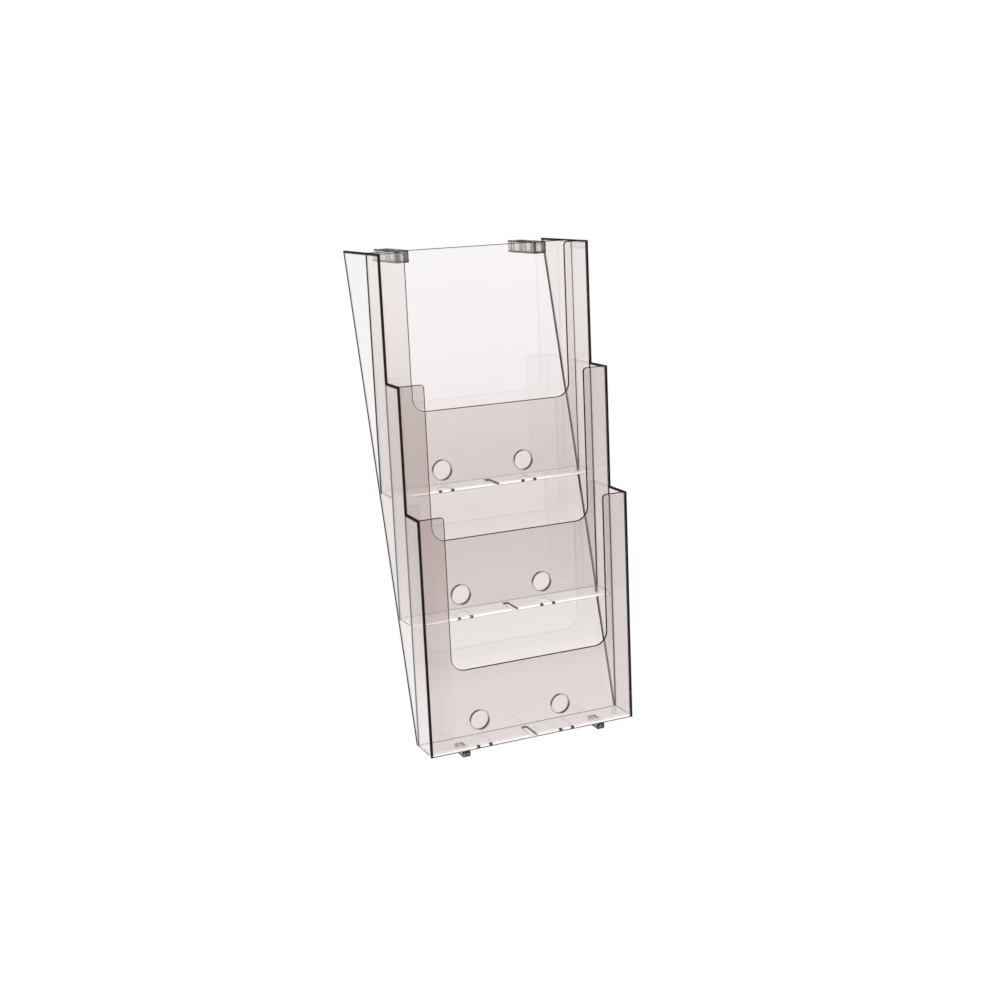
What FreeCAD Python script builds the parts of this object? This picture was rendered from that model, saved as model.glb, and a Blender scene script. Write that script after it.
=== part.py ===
import FreeCAD, Part
import os
import Sketcher

# Three-tier wall rack for A4 brochures, cemented up from clear sheet.
#
# Every piece is first drawn in the rack's own upright frame: x runs across from the
# left outer face, y runs back from the front face of the lowest pocket, z runs up
# from the underside of the lowest floor.  The panels stand upright in that frame and
# the rear edges of the two sides slope.  place() then leans the whole rack forward
# until those rear edges lie on the wall, which is the plane y = 0, with the origin
# midway between their lower ends.

TIERS = 3

DRIVING_SIZES = {
    "outer_width": 230.0,      # across the two sides
    "sheet": 2.5,              # thickness of every plate
    "pocket_depth": 32.2,      # clear depth of a pocket, front to back
    "tier_rise": 126.5,        # from one floor up to the next
    "front_height": 245.0,     # from a floor's underside to the top of its front strips
    "band_height": 86.0,       # from a floor's underside to the bottom of the cutout
    "strip_width": 28.0,       # front strip beside a cutout, from the outer face
    "cutout_radius": 14.0,     # lower corners of a cutout
    "strip_radius": 4.0,       # upper corners of a front strip
    "wall_gap": 6.5,           # from the wall to the nearest corner of a floor
    "hole_diameter": 20.0,     # fixing hole in a back panel
    "hole_spacing": 93.0,      # between the two fixing holes of a tier
    "hole_height": 16.6,       # fixing hole centre above the floor's underside
    "slot_width": 7.0,         # divider slot in a floor
    "slot_margin": 6.0,        # left between a divider slot and the back panel
    "slot_radius": 2.0,        # back corners of a divider slot
    "link_spacing": 153.0,     # between the centre lines of the two feet, and sockets
    "foot_width": 8.5,
    "foot_length": 22.7,
    "foot_height": 6.5,
    "foot_chamfer": 1.0,
    "link_clearance": 0.35,    # all round a foot in the socket of the rack below
    "socket_width": 14.0,
    "socket_height": 12.5,
    "socket_web": 6.8,         # solid stretches before and after a socket's window
    "socket_relief": 2.5,      # kept between a socket and the wall
    "socket_radius": 1.0,      # upright outer edges of a socket
    "edge_radius": 0.9,        # polished free edges
}

# Lengths that follow from the driving sizes, as expressions on the sheet.
STEP = "(sizes.pocket_depth + sizes.sheet)"
LEAN = f"atan({STEP} / sizes.tier_rise)"
INNER_WIDTH = "(sizes.outer_width - 2 * sizes.sheet)"
FULL_HEIGHT = f"({TIERS - 1} * sizes.tier_rise + sizes.front_height)"
SIDE_STRIP = "(sizes.strip_width - sizes.sheet)"
SOCKET_BASE = f"({FULL_HEIGHT} - sizes.socket_height)"
BACK_OF_RACK = f"({TIERS} * {STEP} + sizes.sheet)"
HALF_SPACING = "(sizes.link_spacing / 2)"


def wall_line(height):
    """How far back the wall is at a height, in the upright frame."""
    return f"({STEP} * (1 + {height} / sizes.tier_rise) + sizes.wall_gap / cos({LEAN}))"


def make_sheet(doc):
    sheet = doc.addObject("Spreadsheet::Sheet", "sizes")
    for row, (alias, size) in enumerate(DRIVING_SIZES.items(), start=1):
        sheet.set(f"A{row}", alias)
        sheet.set(f"B{row}", str(size))
        sheet.setAlias(f"B{row}", alias)
    doc.recompute()
    return sheet


def value(sheet, expression):
    """The number that an expression on the sheet stands for."""
    result = sheet.evalExpression(expression)
    return float(getattr(result, "Value", result))


def make_body(doc, name):
    body = doc.addObject("PartDesign::Body", name)
    body.Label = name
    return body


def place(body, across, back, up):
    """Puts a body's own origin at a point of the upright frame, then leans it forward."""
    reach = f"({back} - {wall_line('0')})"
    body.Placement = FreeCAD.Placement(FreeCAD.Vector(), FreeCAD.Rotation(FreeCAD.Vector(1, 0, 0), 1))
    body.setExpression("Placement.Base.x", f"{across} - sizes.outer_width / 2")
    body.setExpression("Placement.Base.y", f"{reach} * cos({LEAN}) - {up} * sin({LEAN})")
    body.setExpression("Placement.Base.z", f"{reach} * sin({LEAN}) + {up} * cos({LEAN})")
    body.setExpression("Placement.Rotation.Angle", LEAN)


def make_sketch(body, name, role):
    """A sketch on one of the body's own origin planes."""
    sketch = body.newObject("Sketcher::SketchObject", name)
    plane = next(feature for feature in body.Origin.OriginFeatures if feature.Role == role)
    sketch.AttachmentSupport = [(plane, "")]
    sketch.MapMode = "FlatFace"
    return sketch


def pin_point(sketch, geometry, which, x_value, z_value):
    """Ties one sketch point to two expressions, measured from the sketch's origin."""
    sheet = sketch.Document.getObject("sizes")
    for kind, expression in (("DistanceX", x_value), ("DistanceY", z_value)):
        index = sketch.addConstraint(
            Sketcher.Constraint(kind, -1, 1, geometry, which, value(sheet, expression))
        )
        sketch.setExpression(f"Constraints[{index}]", expression)


def draw_outline(sketch, corners):
    """A closed outline of straight lines, each corner a pair of expressions."""
    sheet = sketch.Document.getObject("sizes")
    points = [FreeCAD.Vector(value(sheet, x), value(sheet, y), 0) for x, y in corners]
    first = sketch.GeometryCount
    count = len(points)
    for index, point in enumerate(points):
        sketch.addGeometry(Part.LineSegment(point, points[(index + 1) % count]), False)
    for index in range(count):
        following = first + (index + 1) % count
        sketch.addConstraint(Sketcher.Constraint("Coincident", first + index, 2, following, 1))
    for index, (x, y) in enumerate(corners):
        pin_point(sketch, first + index, 1, x, y)


def draw_rectangle(sketch, left, low, right, high):
    draw_outline(sketch, [(left, low), (right, low), (right, high), (left, high)])


def draw_circle(sketch, across, up, diameter):
    sheet = sketch.Document.getObject("sizes")
    centre = FreeCAD.Vector(value(sheet, across), value(sheet, up), 0)
    radius = value(sheet, diameter) / 2
    circle = sketch.addGeometry(Part.Circle(centre, FreeCAD.Vector(0, 0, 1), radius), False)
    pin_point(sketch, circle, 3, across, up)
    index = sketch.addConstraint(Sketcher.Constraint("Diameter", circle, 2 * radius))
    sketch.setExpression(f"Constraints[{index}]", diameter)


def pad(body, sketch, length, backwards=False):
    feature = body.newObject("PartDesign::Pad", f"{sketch.Name}_pad")
    feature.Profile = sketch
    feature.setExpression("Length", length)
    feature.Reversed = backwards
    body.Document.recompute()
    return feature


def cut_through(body, sketch):
    """Cuts a sketch right through the body and makes sure that something was cut."""
    before = body.Shape.Volume
    feature = body.newObject("PartDesign::Pocket", f"{sketch.Name}_cut")
    feature.Profile = sketch
    feature.Type = "ThroughAll"
    feature.Midplane = True
    body.Document.recompute()
    if not body.Shape.Volume < before - 1:
        raise RuntimeError(f"{sketch.Name} cut nothing from {body.Label}")
    return feature


def dress(body, kind, name, size, chosen):
    """A fillet or chamfer on the edges of the body's last feature that chosen() picks."""
    base = body.Tip
    edges = [f"Edge{i}" for i, edge in enumerate(base.Shape.Edges, start=1) if chosen(edge)]
    if not edges:
        raise RuntimeError(f"{name} on {body.Label} found no edges")
    feature = body.newObject(f"PartDesign::{kind}", f"{body.Name}_{name}")
    feature.Base = (base, edges)
    feature.setExpression("Radius" if kind == "Fillet" else "Size", size)
    body.Document.recompute()
    return feature


def near(a, b):
    return abs(a - b) < 1e-4


def is_flat(edge, axis):
    """True if an edge lies at one value of an axis, which is 0, 1 or 2 for x, y or z."""
    box = edge.BoundBox
    return near((box.XLength, box.YLength, box.ZLength)[axis], 0)


def lies_at(edge, axis, place_on_axis):
    """True if all of an edge lies at the given place on an axis."""
    box = edge.BoundBox
    return is_flat(edge, axis) and near((box.XMin, box.YMin, box.ZMin)[axis], place_on_axis)


def stands_at(edge, across, up):
    """True if an edge runs straight back at the given place of a panel."""
    return lies_at(edge, 0, across) and lies_at(edge, 2, up)


def make_panel(doc, name, tier_steps, floors_up, height, cutout_foot=None, hole_centre=None):
    """An upright panel between the sides.

    cutout_foot and hole_centre are heights above the panel's own lower edge.
    """
    sheet = doc.getObject("sizes")
    body = make_body(doc, name)
    face = make_sketch(body, f"{name}_face", "XZ_Plane")
    draw_rectangle(face, "0", "0", INNER_WIDTH, height)
    pad(body, face, "sizes.sheet", backwards=True)
    far_strip = f"({INNER_WIDTH} - {SIDE_STRIP})"
    if cutout_foot:
        window = make_sketch(body, f"{name}_cutout", "XZ_Plane")
        above = f"({height} + sizes.sheet)"
        draw_rectangle(window, SIDE_STRIP, cutout_foot, far_strip, above)
        cut_through(body, window)
        left, right = value(sheet, SIDE_STRIP), value(sheet, far_strip)
        foot, top = value(sheet, cutout_foot), value(sheet, height)
        for label, radius, level in (("corners", "sizes.cutout_radius", foot), ("tips", "sizes.strip_radius", top)):
            dress(
                body, "Fillet", label, radius,
                lambda edge: stands_at(edge, left, level) or stands_at(edge, right, level),
            )
    if hole_centre:
        holes = make_sketch(body, f"{name}_holes", "XZ_Plane")
        for side in (-1, 1):
            across = f"({INNER_WIDTH} / 2 + {side} * sizes.hole_spacing / 2)"
            draw_circle(holes, across, hole_centre, "sizes.hole_diameter")
        cut_through(body, holes)
    ends = (0.0, value(sheet, INNER_WIDTH))
    faces = (0.0, value(sheet, "sizes.sheet"))
    foot_level = value(sheet, cutout_foot) if cutout_foot else value(sheet, height)
    dress(
        body, "Fillet", "polish", "sizes.edge_radius",
        lambda edge: any(lies_at(edge, 1, y) for y in faces)
        and not any(lies_at(edge, 0, x) for x in ends)
        and edge.BoundBox.ZMax > foot_level - 1e-4,
    )
    place(body, "sizes.sheet", f"{tier_steps} * {STEP}", f"{floors_up} * sizes.tier_rise")
    return body


def make_floor(doc, name, tier_steps, floors_up):
    """A pocket floor between two panels, with the slot that a pocket divider clips into."""
    sheet = doc.getObject("sizes")
    body = make_body(doc, name)
    plate = make_sketch(body, f"{name}_plate", "XY_Plane")
    draw_rectangle(plate, "0", "0", INNER_WIDTH, "sizes.pocket_depth")
    pad(body, plate, "sizes.sheet")
    slot = make_sketch(body, f"{name}_slot", "XY_Plane")
    left = f"({INNER_WIDTH} / 2 - sizes.slot_width / 2)"
    right = f"({INNER_WIDTH} / 2 + sizes.slot_width / 2)"
    back = "(sizes.pocket_depth - sizes.slot_margin)"
    draw_rectangle(slot, left, "-sizes.sheet", right, back)
    cut_through(body, slot)
    dress(
        body, "Fillet", "slot_end", "sizes.slot_radius",
        lambda edge: lies_at(edge, 1, value(sheet, back))
        and (lies_at(edge, 0, value(sheet, left)) or lies_at(edge, 0, value(sheet, right))),
    )
    place(body, "sizes.sheet", f"({tier_steps} * {STEP} + sizes.sheet)", f"{floors_up} * sizes.tier_rise")
    return body


def make_side(doc, name, across, outer_face):
    """A stepped side plate whose sloping rear edge bears on the wall."""
    body = make_body(doc, name)
    profile = make_sketch(body, f"{name}_profile", "YZ_Plane")
    corners = [(wall_line("0"), "0")]
    for tier in range(TIERS):
        front = f"({tier} * {STEP})"
        foot = f"({tier - 1} * sizes.tier_rise + sizes.front_height)" if tier else "0"
        top = f"({tier} * sizes.tier_rise + sizes.front_height)"
        corners += [(front, foot), (front, top)]
    corners.append((wall_line(FULL_HEIGHT), FULL_HEIGHT))
    draw_outline(profile, corners)
    pad(body, profile, "sizes.sheet")
    outside = value(doc.getObject("sizes"), outer_face)
    dress(body, "Fillet", "polish", "sizes.edge_radius", lambda edge: lies_at(edge, 0, outside))
    place(body, across, "0", "0")
    return body


def make_foot(doc, name, centre):
    """A foot under the lowest floor, which drops into the socket of a rack below."""
    body = make_body(doc, name)
    block = make_sketch(body, f"{name}_block", "XY_Plane")
    draw_rectangle(block, "0", "0", "sizes.foot_width", "sizes.foot_length")
    pad(body, block, "sizes.foot_height")
    dress(body, "Chamfer", "lead", "sizes.foot_chamfer", lambda edge: lies_at(edge, 2, 0.0))
    place(body, f"({centre} - sizes.foot_width / 2)", "0", "(-sizes.foot_height)")
    return body


def make_socket(doc, name, centre):
    """A bracket behind the top of the back panel, slotted for the foot of a rack above."""
    sheet = doc.getObject("sizes")
    body = make_body(doc, name)
    length = f"({wall_line(SOCKET_BASE)} - sizes.socket_relief - {BACK_OF_RACK})"
    block = make_sketch(body, f"{name}_block", "XY_Plane")
    draw_rectangle(block, "0", "0", "sizes.socket_width", length)
    pad(body, block, "sizes.socket_height")
    left = "(sizes.socket_width / 2 - sizes.foot_width / 2 - sizes.link_clearance)"
    right = "(sizes.socket_width / 2 + sizes.foot_width / 2 + sizes.link_clearance)"
    # A rack above sits further back by its height times the slope of the rear edges.
    slot_front = f"({FULL_HEIGHT} * {STEP} / sizes.tier_rise - sizes.link_clearance - {BACK_OF_RACK})"
    slot_back = f"({slot_front} + sizes.foot_length + 2 * sizes.link_clearance)"
    openings = {"slot": (slot_front, slot_back), "window": ("sizes.socket_web", f"({slot_front} - sizes.socket_web)")}
    for label, (front, back) in openings.items():
        gap = make_sketch(body, f"{name}_{label}", "XY_Plane")
        draw_rectangle(gap, left, front, right, back)
        cut_through(body, gap)
    far_side, far_end = value(sheet, "sizes.socket_width"), value(sheet, length)
    dress(
        body, "Fillet", "corners", "sizes.socket_radius",
        lambda edge: lies_at(edge, 1, far_end) and (lies_at(edge, 0, 0.0) or lies_at(edge, 0, far_side)),
    )
    place(body, f"({centre} - sizes.socket_width / 2)", BACK_OF_RACK, SOCKET_BASE)
    return body


def make_rack(doc):
    tall = "(sizes.tier_rise + sizes.front_height)"
    raised_cutout = "(sizes.tier_rise + sizes.band_height)"
    left_link = f"(sizes.outer_width / 2 - {HALF_SPACING})"
    right_link = f"(sizes.outer_width / 2 + {HALF_SPACING})"
    return [
        make_side(doc, "left_side", "0", "0"),
        make_side(doc, "right_side", "(sizes.outer_width - sizes.sheet)", "sizes.sheet"),
        make_panel(doc, "back_panel", 3, 2, "sizes.front_height", None, "sizes.hole_height"),
        make_panel(doc, "upper_front_panel", 2, 1, tall, raised_cutout, "sizes.hole_height"),
        make_panel(doc, "middle_front_panel", 1, 0, tall, raised_cutout, "sizes.hole_height"),
        make_panel(doc, "lower_front_panel", 0, 0, "sizes.front_height", "sizes.band_height", None),
        make_floor(doc, "upper_floor", 2, 2),
        make_floor(doc, "middle_floor", 1, 1),
        make_floor(doc, "lower_floor", 0, 0),
        make_socket(doc, "left_link_socket", left_link),
        make_socket(doc, "right_link_socket", right_link),
        make_foot(doc, "left_link_foot", left_link),
        make_foot(doc, "right_link_foot", right_link),
    ]


def check_document(doc, bodies):
    for item in doc.Objects:
        if {"Invalid", "Error"} & set(item.State):
            raise RuntimeError(f"{item.Label} is {item.State}")
    for body in bodies:
        shape = body.Shape
        if shape.isNull() or not shape.isValid() or len(shape.Solids) != 1:
            raise RuntimeError(f"{body.Label} has no single valid solid")


def main():
    doc = FreeCAD.newDocument("brochure_rack")
    make_sheet(doc)
    bodies = make_rack(doc)
    doc.recompute()
    check_document(doc, bodies)
    os.makedirs("parts", exist_ok=True)
    for body in bodies:
        body.Shape.exportStep(f"parts/{body.Label}.step")


main()
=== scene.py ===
"""Looks for a clear wall rack with three brochure pockets: the finishes of its plates, with painted shade and
painted light on them, and a white stage.
"""

import math

import bpy
from mathutils import Matrix, Vector


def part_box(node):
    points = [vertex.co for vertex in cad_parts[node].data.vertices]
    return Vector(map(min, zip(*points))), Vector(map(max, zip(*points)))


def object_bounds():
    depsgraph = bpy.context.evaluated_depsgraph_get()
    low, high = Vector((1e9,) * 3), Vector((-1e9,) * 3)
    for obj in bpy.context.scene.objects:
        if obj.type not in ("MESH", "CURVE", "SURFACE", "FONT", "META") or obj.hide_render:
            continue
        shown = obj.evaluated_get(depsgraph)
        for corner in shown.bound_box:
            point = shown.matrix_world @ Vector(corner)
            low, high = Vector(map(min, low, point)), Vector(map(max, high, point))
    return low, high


bl_info = {
    "name": "Brochure rack looks",
    "version": (1, 0, 0),
    "blender": (4, 5, 0),
    "location": "View3D > Sidebar > Rack",
    "description": "Clear moulded finishes and a white stage for a three-pocket brochure rack",
    "category": "Object",
}

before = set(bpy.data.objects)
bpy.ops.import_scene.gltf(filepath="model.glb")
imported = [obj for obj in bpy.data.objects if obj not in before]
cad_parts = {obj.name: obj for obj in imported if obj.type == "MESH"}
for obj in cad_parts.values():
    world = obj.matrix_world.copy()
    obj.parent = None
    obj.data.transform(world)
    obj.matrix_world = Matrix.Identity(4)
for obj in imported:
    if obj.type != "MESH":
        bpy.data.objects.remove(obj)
CAD_BOX = [list(corner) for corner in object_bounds()]

# Sizes of the rack, in metres. Heights up its plates and depths back through them are measured
# square to the leaning plates, from the lower front edge of the lowest front panel.
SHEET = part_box("left_side")[1].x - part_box("left_side")[0].x
INNER_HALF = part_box("right_side")[0].x
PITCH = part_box("middle_floor")[0].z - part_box("lower_floor")[0].z
POCKET_DEPTH = 0.0322
STEP = POCKET_DEPTH + SHEET
LEAN = math.asin(STEP / PITCH)
RISE = PITCH * math.cos(LEAN)
WALL_GAP = -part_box("lower_floor")[1].y
FRONT_FOOT = STEP + WALL_GAP / math.cos(LEAN)
FRONT_HEIGHT = 0.245
STRIP_WIDTH = 0.028
HOLE_SPACING = 0.093
HOLE_RADIUS = 0.010
HOLE_HEIGHT = 0.0166
FULL_HEIGHT = 2 * RISE + FRONT_HEIGHT

# Which way the broad faces of each kind of plate look.
ACROSS = (1.0, 0.0, 0.0)
OUT_OF_PANEL = (0.0, -math.cos(LEAN), -math.sin(LEAN))
UP_FROM_FLOOR = (0.0, -math.sin(LEAN), math.cos(LEAN))

SEEN_AHEAD = 0.0019             # how far ahead of a line on a side's inner face it shows on the outer one
SLACK = 0.00004                 # how closely faces that touch are found
EDGE_TILT = (0.93, 0.99)        # between these, a face turns from a polished edge into a broad face
REAR_SOFT = 0.0008              # over which the rear rim of a side fades in
FEATHER = 0.0003                # softness of the thin lines on panels and floors
STRIP_SOFT = 0.004              # over which a panel's left strip fades into the rest
GATE_RING = (0.0021, 0.0027)    # inner and outer radius of the gate mark
GATE_HEIGHT = 0.024             # of the gate mark above the foot of the middle front panel
FRONT_MARK = (0.0022, 0.0030)   # how far a floor's dark marks run back over it
UNDER_LINE = (0.0004, 0.0007)   # height over which a floor's lower front line fades out
HOLE_SLANT = (0.75, 1.2)        # how far round a hole its two dark arcs reach
CORNER_TURN = (0.003, 0.02)     # how sharply a fitting's corner lines begin
WARM = (0.8, 1.0, 1.04)         # how much a darker tone leans to red
CLEAR = (0.99, 0.99, 0.99, 1.0)
WHITE = (1.0, 1.0, 1.0, 1.0)


# ---------------------------------------------------------------- shader maths


class Socket:
    """A node's output, with the arithmetic that the finishes use."""

    def __init__(self, shading, socket):
        self.shading = shading
        self.socket = socket

    def maths(self, operation, *others):
        values = dict(enumerate((self, *others)))
        return self.shading.add("ShaderNodeMath", {"operation": operation}, values)

    def __add__(self, other):
        return self.maths("ADD", other)

    __radd__ = __add__

    def __sub__(self, other):
        return self.maths("SUBTRACT", other)

    def __rsub__(self, other):
        return self.shading.add("ShaderNodeMath", {"operation": "SUBTRACT"}, {0: other, 1: self})

    def __mul__(self, other):
        return self.maths("MULTIPLY", other)

    __rmul__ = __mul__

    def __truediv__(self, other):
        return self.maths("DIVIDE", other)

    def __or__(self, other):
        return self.maths("MAXIMUM", other)

    def __abs__(self):
        return self.maths("ABSOLUTE")


class Shading:
    """A node tree under construction, whose nodes are all added by one method."""

    def __init__(self, tree):
        self.tree = tree
        tree.nodes.clear()

    def add(self, kind, settings=None, sockets=None, out=0):
        """Adds a node: first its settings, then the value or link of each socket."""
        node = self.tree.nodes.new(kind)
        for name, value in (settings or {}).items():
            if name == "stops":
                self.set_stops(node.color_ramp, value)
            else:
                setattr(node, name, value)
        for name, value in (sockets or {}).items():
            if isinstance(value, Socket):
                self.tree.links.new(value.socket, node.inputs[name])
            else:
                node.inputs[name].default_value = value
        return Socket(self, node.outputs[out]) if node.outputs else node

    @staticmethod
    def set_stops(ramp, stops):
        while len(ramp.elements) < len(stops):
            ramp.elements.new(1.0)
        for element, (position, colour) in zip(ramp.elements, stops):
            element.position = position
            element.color = colour

    def mix(self, factor, first, second):
        """The first shader where the factor is 0 and the second where it is 1."""
        return self.add("ShaderNodeMixShader", None, {0: factor, 1: first, 2: second})

    def rising(self, value, low, high):
        """0 up to the low value, 1 from the high value, and even in between."""
        return self.add("ShaderNodeMapRange", None, {"Value": value, "From Min": low, "From Max": high})

    def within(self, value, low, high, soft=SLACK):
        """1 from the low value to the high one, with edges this soft."""
        return 1.0 - self.rising(abs(value - (low + high) / 2), (high - low) / 2, (high - low) / 2 + soft)


def warm(level):
    """A grey of this level, turned a little to red, as a colour with alpha."""
    return (*(level ** power for power in WARM), 1.0)


class Plate:
    """Where a point of a plate's surface is in the rack's own lean, and which way it faces."""

    def __init__(self, shading, normal):
        self.shading = shading
        self.place = shading.add("ShaderNodeTexCoord", out="Object")
        self.to_wall = self.part(self.place, "Y")
        lean = shading.add(
            "ShaderNodeMapping", None,
            {"Vector": self.place, "Location": (0.0, FRONT_FOOT, 0.0), "Rotation": (-LEAN, 0.0, 0.0)},
        )
        self.across = self.part(lean, "X")
        self.back = self.part(lean, "Y")
        self.up = self.part(lean, "Z")
        self.normal = shading.add("ShaderNodeNewGeometry", out="Normal")
        self.facing = self.dot(self.normal, normal)

    def part(self, vector, axis):
        return self.shading.add("ShaderNodeSeparateXYZ", None, {"Vector": vector}, out=axis)

    def dot(self, first, second):
        values = {0: first, 1: second}
        return self.shading.add("ShaderNodeVectorMath", {"operation": "DOT_PRODUCT"}, values, out="Value")

    def polished(self):
        """1 on a plate's narrow edges and their rounding, 0 on its two broad faces."""
        return 1.0 - self.shading.rising(abs(self.facing), *EDGE_TILT)

    def ends(self):
        """1 on the two ends that are cemented to the sides."""
        return self.shading.rising(abs(self.across), INNER_HALF - 2 * SLACK, INNER_HALF - SLACK)

    def tone(self, levels):
        """Painted shade that darkens the plastic by height, from (height, level) pairs."""
        stops = [(height / FULL_HEIGHT, warm(level)) for height, level in levels]
        height = self.up / FULL_HEIGHT
        return self.shading.add("ShaderNodeValToRGB", {"stops": stops}, {"Fac": height}, out="Color")

    def tinted(self, colour, mask, level):
        """The colour, darkened to this level where the mask is 1."""
        settings = {"data_type": "RGBA", "blend_type": "MULTIPLY"}
        return self.shading.add("ShaderNodeMix", settings, {0: mask, 6: colour, 7: warm(level)}, out=2)


def clear_plastic(name, look, normal, density, layers, tint=None):
    """A clear plate with faint flow marks and scuffs, and with layers of other shaders over parts of it:
    painted shade, painted light that glows, and clear joins.

    layers(plate) gives pairs of a shader's name and its mask, and tint(plate) the colour of the surface.
    """
    material = bpy.data.materials.new(name)
    material.use_nodes = True
    shading = Shading(material.node_tree)
    plate = Plate(shading, normal)
    flow = shading.add("ShaderNodeTexNoise", None, {"Vector": plate.place, "Scale": 14.0, "Detail": 3.0})
    scuff = shading.add("ShaderNodeTexNoise", None, {"Vector": plate.place, "Scale": 160.0, "Detail": 4.0})
    waves = shading.add("ShaderNodeBump", None, {
        "Strength": look.waviness, "Distance": 0.001, "Height": flow,
    })
    surface = shading.add("ShaderNodeBsdfPrincipled", None, {
        "Base Color": tint(plate) if tint else CLEAR,
        "Roughness": scuff * look.scuffing,
        "IOR": look.index,
        "Transmission Weight": 1.0,
        "Normal": waves,
    })
    # The dark shader is painted shade: near-black lines where the clear plastic's edges, seams and rims show
    # dark by bending light. The bright shader is painted light that glows with its own emission. The fused
    # shader is clear, for joins.
    shaders = {
        "dark": shading.add("ShaderNodeBsdfPrincipled", None, {
            "Base Color": (*look.edge, 1.0), "Roughness": scuff * 0.2 + 0.4, "IOR": 1.02,
        }),
        "bright": shading.add("ShaderNodeBsdfPrincipled", None, {
            "Base Color": (*look.lit_edge, 1.0), "Roughness": scuff * 0.2 + 0.3,
            "Emission Color": (*look.lit_edge, 1.0), "Emission Strength": 0.7,
        }),
        "fused": shading.add("ShaderNodeBsdfTransparent", None, {"Color": WHITE}),
    }
    for kind, mask in layers(plate):
        surface = shading.mix(mask, surface, shaders[kind])
    volume = {"Color": (*look.tint, 1.0), "Density": density}
    inside = shading.add("ShaderNodeVolumeAbsorption", None, volume)
    shading.add("ShaderNodeOutputMaterial", None, {"Surface": surface, "Volume": inside})
    return material


# ---------------------------------------------------------------- what is painted on each kind of plate


def side_layers(look, back_seam, outside):
    """Painted shade as dark edges, rims and seams on a side, and clear joins where the floors are cemented to
    it.

    back_seam is the width of the seam beside the back panel, and outside how strongly it shows on the
    side's outer face too.
    """

    def layers(plate):
        shade = plate.shading
        inner = 1.0 - shade.rising(abs(plate.across), INNER_HALF + SLACK, INNER_HALF + 2 * SLACK)
        rear = shade.rising(plate.to_wall, -look.rear_rim, REAR_SOFT - look.rear_rim)
        # painted shade: the line beside the back panel, drawn again on the side's outer face where it shows
        # through
        ahead = plate.back + SEEN_AHEAD
        back_line = shade.within(ahead, 3 * STEP, 3 * STEP + SHEET, look.seam / 2)
        back_line = back_line * shade.within(plate.up, 2 * RISE, FULL_HEIGHT) * (1.0 - inner) * outside
        tops = shade.rising(plate.up, FULL_HEIGHT - look.top_rim, FULL_HEIGHT - look.top_rim / 2)
        seams = None
        joins = None
        for tier in range(4):
            front = tier * STEP
            foot = max(tier - 1, 0) * RISE
            top = min(tier, 2) * RISE + FRONT_HEIGHT
            width = back_seam if tier == 3 else look.seam
            lines = shade.within(plate.back, front - width, front + SHEET + width, look.seam / 2)
            seam = lines * shade.within(plate.up, foot, top)
            seams = seams | seam if seams else seam
            if tier < 3:
                pocket = shade.within(plate.back, front, front + STEP)
                half = look.top_rim / 2
                step_top = shade.within(plate.up, top - half, top + look.top_rim, half)
                tops = tops | pocket * step_top
                join = pocket * shade.within(plate.up, tier * RISE, tier * RISE + SHEET)
                joins = joins | join if joins else join
        # the dark layers are painted shade: near-black lines where the clear edges, rims and seams show dark
        # by bending light
        return (
            ("fused", joins * inner),
            ("dark", seams * inner * 0.9),
            ("dark", (plate.polished() | rear | tops | back_line) * 0.96),
        )

    return layers


def panel_layers(look, front_foot, back_foot, hole_level, mark_level=None):
    """Painted shade as dark edges, ends and hole rims on a panel, a gate mark in glowing painted light, and
    clear joins where floors meet its front and its back.
    """

    def layers(plate):
        shade = plate.shading
        joins = None
        for foot, sign in ((front_foot, 1.0), (back_foot, -1.0)):
            if foot is not None:
                face = (plate.facing * sign).maths("GREATER_THAN", 0.9)
                join = shade.within(plate.up, foot, foot + SHEET) * face
                joins = joins | join if joins else join
        dark = plate.polished()
        if hole_level is not None:
            sideways = plate.across - plate.across.maths("SIGN") * (HOLE_SPACING / 2)
            upwards = plate.up - hole_level
            radius = (sideways * sideways + upwards * upwards).maths("SQRT")
            # painted shade: a faint dark ring round each hole, darkest in two arcs, where the rim's bent
            # light shows dark
            rim = 1.0 - shade.rising(radius, HOLE_RADIUS + look.ring, HOLE_RADIUS + look.ring * 1.5)
            slant = abs(upwards - sideways) / (radius + SLACK)
            arcs = shade.rising(slant, *HOLE_SLANT)
            dark = dark * (1.0 - rim) | rim * arcs * 0.97 | rim * 0.2
        painted = [("dark", dark * 0.97), ("fused", joins)]
        if mark_level is not None:
            upwards = plate.up - mark_level
            radius = (plate.across * plate.across + upwards * upwards).maths("SQRT")
            # the gate mark is the moulding's own; its faint ring is drawn in painted light that glows
            painted.insert(0, ("bright", shade.within(radius, *GATE_RING, FEATHER) * 0.35))
        return painted

    return layers


def panel_tint(levels, left_level):
    """A panel's painted shade by height, and how much darker its left strip is."""

    def tint(plate):
        inner_edge = STRIP_WIDTH - INNER_HALF
        strip = 1.0 - plate.shading.rising(plate.across, inner_edge - STRIP_SOFT, inner_edge)
        return plate.tinted(plate.tone(levels), strip, left_level)

    return tint


def side_tint(levels):
    """A side's painted shade by height, in front of the rack's back panel only."""

    def tint(plate):
        behind = plate.shading.rising(plate.back, 3 * STEP, 3 * STEP + SHEET)
        settings = {"data_type": "RGBA"}
        sockets = {0: behind, 6: plate.tone(levels), 7: CLEAR}
        return plate.shading.add("ShaderNodeMix", settings, sockets, out=2)

    return tint


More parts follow.
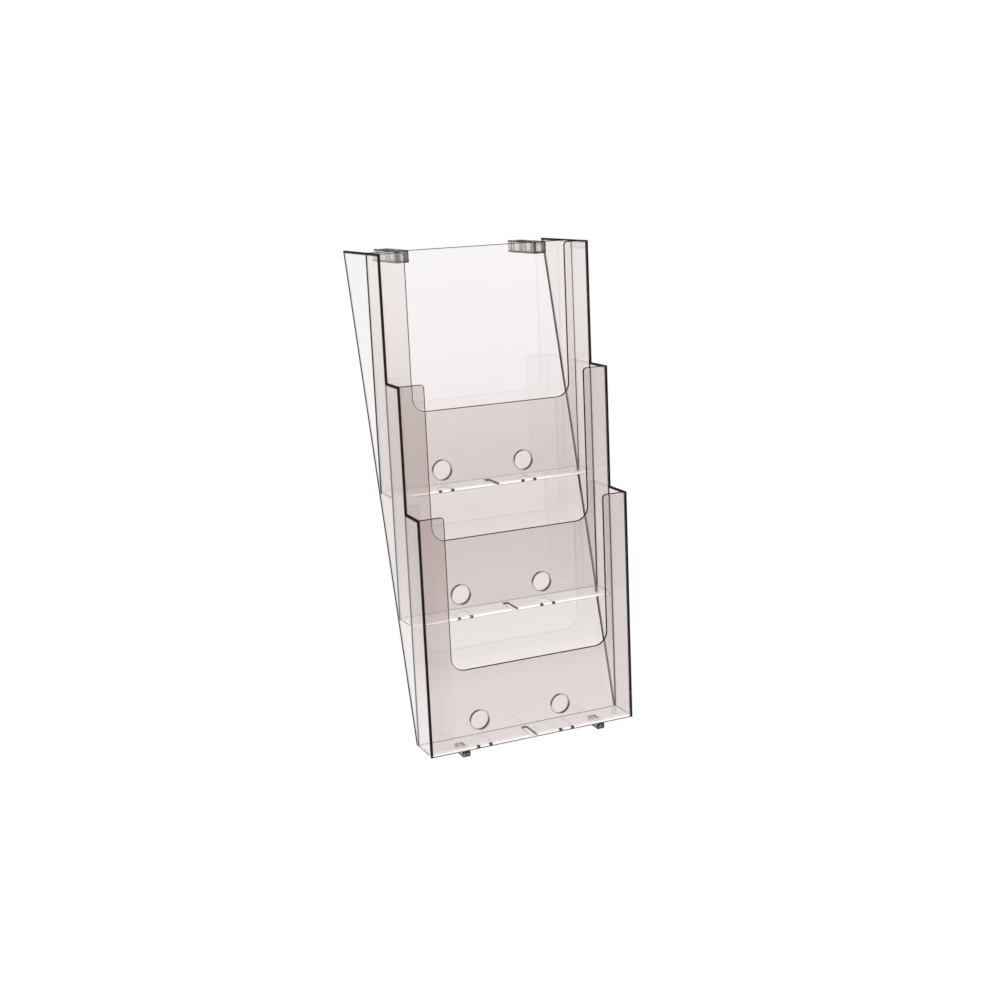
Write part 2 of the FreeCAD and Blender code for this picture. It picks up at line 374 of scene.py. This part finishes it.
def floor_layers(look, tier):
    """A floor's slot and edges in painted shade, its front in glowing painted light, dark marks below the
    holes that are painted reflections of their rims, a painted shade line under its front, and its joins.
    """

    def layers(plate):
        shade = plate.shading
        edges = 1.0 - (abs(plate.facing) * 4.0).maths("MINIMUM", 1.0)
        front_line = tier * STEP + SHEET
        back_line = (tier + 1) * STEP
        front = edges * shade.within(plate.back, front_line - 2 * SLACK, front_line + 2 * SLACK)
        back = edges * shade.within(plate.back, back_line - 2 * SLACK, back_line + 2 * SLACK)
        # painted light: the floor's front glows, fading back over the lit depth, and its front edge glows
        # brighter
        lit = 1.0 - shade.rising(plate.back, front_line + look.lit_depth / 3, front_line + look.lit_depth)
        # painted reflection: pairs of dark marks near the floor's front, where the hole rims show reflected,
        # set to the left of the holes
        from_hole = abs(abs(plate.across + look.mark_shift) - HOLE_SPACING / 2)
        reach = look.mark_reach
        half = look.mark_width / 2
        marks = shade.within(from_hole, reach - half, reach + half, half / 2)
        near_front = 1.0 - shade.rising(plate.back - front_line, *FRONT_MARK)
        # painted shade: a thin dark line along the floor's lower front edge
        under = 1.0 - shade.rising(plate.up - tier * RISE, *UNDER_LINE)
        return (
            ("bright", (lit * 0.65 + 0.05) * (1.0 - edges)),
            ("dark", edges * 0.9),
            ("bright", front),
            ("dark", (front | near_front) * marks),
            ("dark", front * under * 0.7),
            ("fused", back | plate.ends()),
        )

    return layers


def fitting_layers(look):
    """Painted shade as dark lines along the corners of a small moulded block."""

    def layers(plate):
        rounded = plate.shading.add("ShaderNodeBevel", {"samples": 6}, {"Radius": look.corner_line})
        turned = 1.0 - plate.dot(rounded, plate.normal)
        return (("dark", plate.shading.rising(turned, *CORNER_TURN) * 0.98),)

    return layers


# ---------------------------------------------------------------- settings


def length(name, description, default):
    return bpy.props.FloatProperty(
        name=name, description=description, unit="LENGTH", default=default, precision=5
    )


def number(name, description, default):
    return bpy.props.FloatProperty(name=name, description=description, default=default, min=0.0)


def density(piece, default):
    return number(f"{piece} density", "How fast the plastic darkens with thickness, per metre", default)


def colour(name, description, default):
    return bpy.props.FloatVectorProperty(
        name=name, description=description, subtype="COLOR", size=3, default=default, min=0.0, max=1.0
    )


def angle(name, description, degrees):
    return bpy.props.FloatProperty(
        name=name, description=description, subtype="ANGLE", default=math.radians(degrees)
    )


class RackPlastic(bpy.types.PropertyGroup):
    """The clear moulded plastic, and the painted shade and painted light that stand for the lines its edges
    show.
    """

    index: number("Refractive index", "How strongly the plastic bends light", 1.59)
    tint: colour("Tint", "Colour that is left after a long way through the plastic", (0.30, 0.06, 0.0))
    # The edge colour is painted shade on the polished edges, and the lit edge colour is painted light that
    # glows on the floors' fronts.
    edge: colour("Edge colour", "Colour of the narrow polished edges", (0.016, 0.012, 0.011))
    lit_edge: colour("Lit edge colour", "Colour of the floors' front edges", (0.93, 0.925, 0.92))
    scuffing: number("Scuffing", "Roughness of the broad faces", 0.02)
    waviness: number("Waviness", "Strength of the flow marks of moulding", 0.03)
    # All plates are one plastic; their densities differ from plate to plate as painted shade.
    left_density: density("Left side", 32.0)
    right_density: density("Right side", 34.0)
    back_density: density("Back panel", 38.0)
    upper_density: density("Upper front panel", 60.0)
    middle_density: density("Middle front panel", 16.0)
    lower_density: density("Lower front panel", 62.0)
    floor_density: density("Floors", 2.5)
    fitting_density: density("Link fittings", 34.0)
    rear_rim: length("Rear rim", "Width of the dark rim along a side's wall edge", 0.0040)
    top_rim: length("Top rim", "Height of the dark rim along a side's top edges", 0.0030)
    seam: length("Seam", "Width of the dark line beside a panel's join with a side", 0.0009)
    left_back_seam: length(
        "Left back seam", "Width of the left side's dark line beside the back panel", 0.0012
    )
    right_back_seam: length(
        "Right back seam", "Width of the right side's dark line beside the back panel", 0.0002
    )
    ring: length("Hole rim", "Width of the dark rim round a fixing hole", 0.0011)
    corner_line: length("Corner line", "Reach of the dark lines along a fitting's corners", 0.0030)
    # lit depth sets the floors' painted light, and the marks are painted reflections of the holes' rims
    lit_depth: length("Lit depth", "How far the light in a floor's front reaches back", 0.011)
    mark_reach: length("Mark reach", "From the middle of a pair of dark marks on a floor to each", 0.0068)
    mark_shift: length("Mark shift", "How far the floors' dark marks lie to the left of the holes", 0.009)
    mark_width: length("Mark width", "Width of a dark mark on a floor", 0.0030)


class RackStage(bpy.types.PropertyGroup):
    """The camera, its place, and the white stage."""

    azimuth: angle("Azimuth", "Turn of the camera about the rack, to the viewer's right", -22.71)
    elevation: angle("Elevation", "Height of the camera above the rack's middle", -1.60)
    roll: angle("Roll", "Tilt of the camera about its line of sight", -8.61)
    distance: length("Distance", "From the camera to the point that it looks at", 1.5206)
    lens: number("Focal length", "Of the camera, in millimetres", 53.15)
    aim: bpy.props.FloatVectorProperty(
        name="Aim", description="The point that the camera looks at", unit="LENGTH", size=3,
        default=(-0.0031, -0.05, 0.2361),
    )
    floor_drop: length("Floor drop", "From the rack's lowest point to the floor", 0.45)
    floor_size: length("Floor size", "Length of each edge of the floor", 12.0)
    surround: number("Surround", "Brightness of the white surround", 1.0)
    lamp_power: number("Lamp power", "Of the soft lamp, in watts", 12.0)
    lamp_size: length("Lamp size", "Length of each edge of the soft lamp", 1.6)


# ---------------------------------------------------------------- operators


def dress(name, material):
    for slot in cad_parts[name].material_slots:
        slot.material = material


class RACK_OT_stage(bpy.types.Operator):
    """Makes the camera, the white surround, the soft lamp and the pale floor"""

    bl_idname = "rack.stage"
    bl_label = "Stage"

    def execute(self, context):
        stage = context.scene.rack_stage
        add_camera(context.scene, stage)
        add_lamp(context.scene, stage)
        add_floor(context, stage)
        add_surround(context.scene, stage)
        context.scene.view_settings.view_transform = "Standard"
        cycles = context.scene.cycles
        cycles.max_bounces = 32
        cycles.transmission_bounces = 32
        cycles.glossy_bounces = 24
        cycles.transparent_max_bounces = 32
        return {"FINISHED"}


def add_camera(scene, stage):
    across = Vector((math.cos(stage.azimuth), math.sin(stage.azimuth), 0.0))
    level = math.cos(stage.elevation)
    ahead = Vector((
        -math.sin(stage.azimuth) * level,
        math.cos(stage.azimuth) * level,
        -math.sin(stage.elevation),
    ))
    up = across.cross(ahead)
    right = math.cos(stage.roll) * across + math.sin(stage.roll) * up
    top = math.cos(stage.roll) * up - math.sin(stage.roll) * across
    data = bpy.data.cameras.new("camera")
    data.lens = stage.lens
    camera = bpy.data.objects.new("camera", data)
    turn = Matrix((right, top, -ahead)).transposed().to_4x4()
    camera.matrix_world = Matrix.Translation(Vector(stage.aim) - ahead * stage.distance) @ turn
    scene.collection.objects.link(camera)
    scene.camera = camera


def add_lamp(scene, stage):
    data = bpy.data.lights.new("soft_lamp", "AREA")
    data.energy = stage.lamp_power
    data.size = stage.lamp_size
    lamp = bpy.data.objects.new("soft_lamp", data)
    place = Vector(stage.aim) + Vector((-1.4, -2.4, 1.9))
    aim = (place - Vector(stage.aim)).to_track_quat("Z", "Y").to_matrix().to_4x4()
    lamp.matrix_world = Matrix.Translation(place) @ aim
    scene.collection.objects.link(lamp)


def add_floor(context, stage):
    lowest = min(corner[2] for corner in CAD_BOX)
    bpy.ops.object.select_all(action="DESELECT")
    ahead_of_wall = 4.5 / 12.0 * stage.floor_size
    place = (0.0, -ahead_of_wall, lowest - stage.floor_drop)
    bpy.ops.mesh.primitive_plane_add(size=stage.floor_size, location=place)
    floor = context.object
    floor.name = "floor"
    bpy.ops.object.transform_apply(location=True, rotation=True, scale=True)
    material = bpy.data.materials.new("floor_white")
    material.use_nodes = True
    shading = Shading(material.node_tree)
    white = shading.add("ShaderNodeBsdfPrincipled", None, {
        "Base Color": (0.9, 0.9, 0.9, 1.0), "Roughness": 0.9,
        "Emission Color": WHITE, "Emission Strength": 0.6,
    })
    shading.add("ShaderNodeOutputMaterial", None, {"Surface": white})
    floor.data.materials.append(material)


def add_surround(scene, stage):
    """White all round, and darker high up so that the plastic's edges stand out."""
    world = bpy.data.worlds.new("surround")
    world.use_nodes = True
    shading = Shading(world.node_tree)
    ray = shading.add("ShaderNodeTexCoord", out="Generated")
    height = shading.add("ShaderNodeSeparateXYZ", None, {"Vector": ray}, out="Z")
    grey = (0.3, 0.3, 0.3, 1.0)
    stops = [(0.0, WHITE), (0.55, WHITE), (0.75, grey)]
    sky = shading.add("ShaderNodeValToRGB", {"stops": stops}, {"Fac": height})
    seen = shading.add("ShaderNodeLightPath", out="Is Camera Ray")
    backdrop = shading.add("ShaderNodeMix", {"data_type": "RGBA"}, {0: seen, 6: sky, 7: WHITE}, out=2)
    light = shading.add("ShaderNodeBackground", None, {"Color": backdrop, "Strength": stage.surround})
    shading.add("ShaderNodeOutputWorld", None, {"Surface": light})
    scene.world = world


class RACK_OT_sides(bpy.types.Operator):
    """Gives the two wedge-shaped side plates their clear finish, with painted shade on their edges and seams
    """

    bl_idname = "rack.sides"
    bl_label = "Side plates"

    def execute(self, context):
        look = context.scene.rack_plastic
        # painted shade by height on the left side; the right side stays clear
        shaded = [
            (0.0, 0.94), (0.05, 0.94), (0.15, 0.88), (0.20, 0.82),
            (0.36, 0.82), (0.41, 0.87), (0.46, 0.94), (FULL_HEIGHT, 0.96),
        ]
        clear = [(0.0, 0.99), (FULL_HEIGHT, 0.99)]
        sides = {
            "left_side": (look.left_density, shaded, look.left_back_seam, 1.0),
            "right_side": (look.right_density, clear, look.right_back_seam, 0.0),
        }
        for name, (thick, levels, back_seam, outside) in sides.items():
            layers = side_layers(look, back_seam, outside)
            dress(name, clear_plastic(f"{name}_plastic", look, ACROSS, thick, layers, side_tint(levels)))
        return {"FINISHED"}


class RACK_OT_panels(bpy.types.Operator):
    """Gives the back panel and the three pocket fronts their clear finish, with painted shade by height and
    along their edges and hole rims
    """

    bl_idname = "rack.panels"
    bl_label = "Panels"

    def execute(self, context):
        look = context.scene.rack_plastic
        # each panel's density, the feet of the floors at its front and back, its gate mark's height, its
        # painted shade by height and how dark its left strip is
        panels = {
            "back_panel": (
                look.back_density, 2 * RISE, None, None,
                [(0.27, 0.89), (0.34, 0.91), (FULL_HEIGHT, 0.99)], 1.0,
            ),
            "upper_front_panel": (
                look.upper_density, RISE, 2 * RISE, None,
                [
                    (0.127, 0.92), (0.16, 0.90), (0.20, 0.84), (0.23, 0.77),
                    (0.26, 0.80), (0.34, 0.88), (0.44, 0.99),
                ],
                1.0,
            ),
            "middle_front_panel": (
                look.middle_density, 0.0, RISE, GATE_HEIGHT,
                [(0.05, 0.985), (0.09, 0.79), (0.14, 0.745), (0.20, 0.757), (0.30, 0.69), (0.37, 0.685)],
                0.955,
            ),
            "lower_front_panel": (
                look.lower_density, None, 0.0, None,
                [(0.0, 0.826), (0.086, 0.826), (0.13, 0.83), (0.20, 0.78)], 0.96,
            ),
        }
        for name, (thick, front, back, mark, levels, left) in panels.items():
            hole_level = None if front is None else front + HOLE_HEIGHT
            layers = panel_layers(look, front, back, hole_level, mark)
            tint = panel_tint(levels, left)
            dress(name, clear_plastic(f"{name}_plastic", look, OUT_OF_PANEL, thick, layers, tint))
        return {"FINISHED"}


class RACK_OT_floors(bpy.types.Operator):
    """Gives the three pocket floors their clear finish, with painted light and painted shade"""

    bl_idname = "rack.floors"
    bl_label = "Floors"

    def execute(self, context):
        look = context.scene.rack_plastic
        for tier, name in enumerate(("lower_floor", "middle_floor", "upper_floor")):
            layers = floor_layers(look, tier)
            dress(name, clear_plastic(f"{name}_plastic", look, UP_FROM_FLOOR, look.floor_density, layers))
        return {"FINISHED"}


class RACK_OT_fittings(bpy.types.Operator):
    """Gives the link feet and the link sockets their clear finish, with painted shade along their corners"""

    bl_idname = "rack.fittings"
    bl_label = "Link fittings"

    def execute(self, context):
        look = context.scene.rack_plastic
        layers = fitting_layers(look)
        finish = clear_plastic("fitting_plastic", look, UP_FROM_FLOOR, look.fitting_density, layers)
        for name in ("left_link_socket", "right_link_socket", "left_link_foot", "right_link_foot"):
            dress(name, finish)
        return {"FINISHED"}


class RACK_PT_looks(bpy.types.Panel):
    """Lists the rack's finishes and its stage"""

    bl_idname = "RACK_PT_looks"
    bl_label = "Brochure rack"
    bl_space_type = "VIEW_3D"
    bl_region_type = "UI"
    bl_category = "Rack"

    def draw(self, context):
        for kind in OPERATORS:
            self.layout.operator(kind.bl_idname)
        for group in (context.scene.rack_plastic, context.scene.rack_stage):
            column = self.layout.column()
            for name in group.__annotations__:
                column.prop(group, name)


GROUPS = (RackPlastic, RackStage)
OPERATORS = (RACK_OT_stage, RACK_OT_sides, RACK_OT_panels, RACK_OT_floors, RACK_OT_fittings)
CLASSES = (*GROUPS, *OPERATORS, RACK_PT_looks)


def register():
    for kind in CLASSES:
        bpy.utils.register_class(kind)
    bpy.types.Scene.rack_plastic = bpy.props.PointerProperty(type=RackPlastic)
    bpy.types.Scene.rack_stage = bpy.props.PointerProperty(type=RackStage)


def unregister():
    del bpy.types.Scene.rack_stage
    del bpy.types.Scene.rack_plastic
    for kind in reversed(CLASSES):
        bpy.utils.unregister_class(kind)


def main():
    register()
    bpy.ops.rack.stage()
    bpy.ops.rack.sides()
    bpy.ops.rack.panels()
    bpy.ops.rack.floors()
    bpy.ops.rack.fittings()


if __name__ == "__main__":
    main()
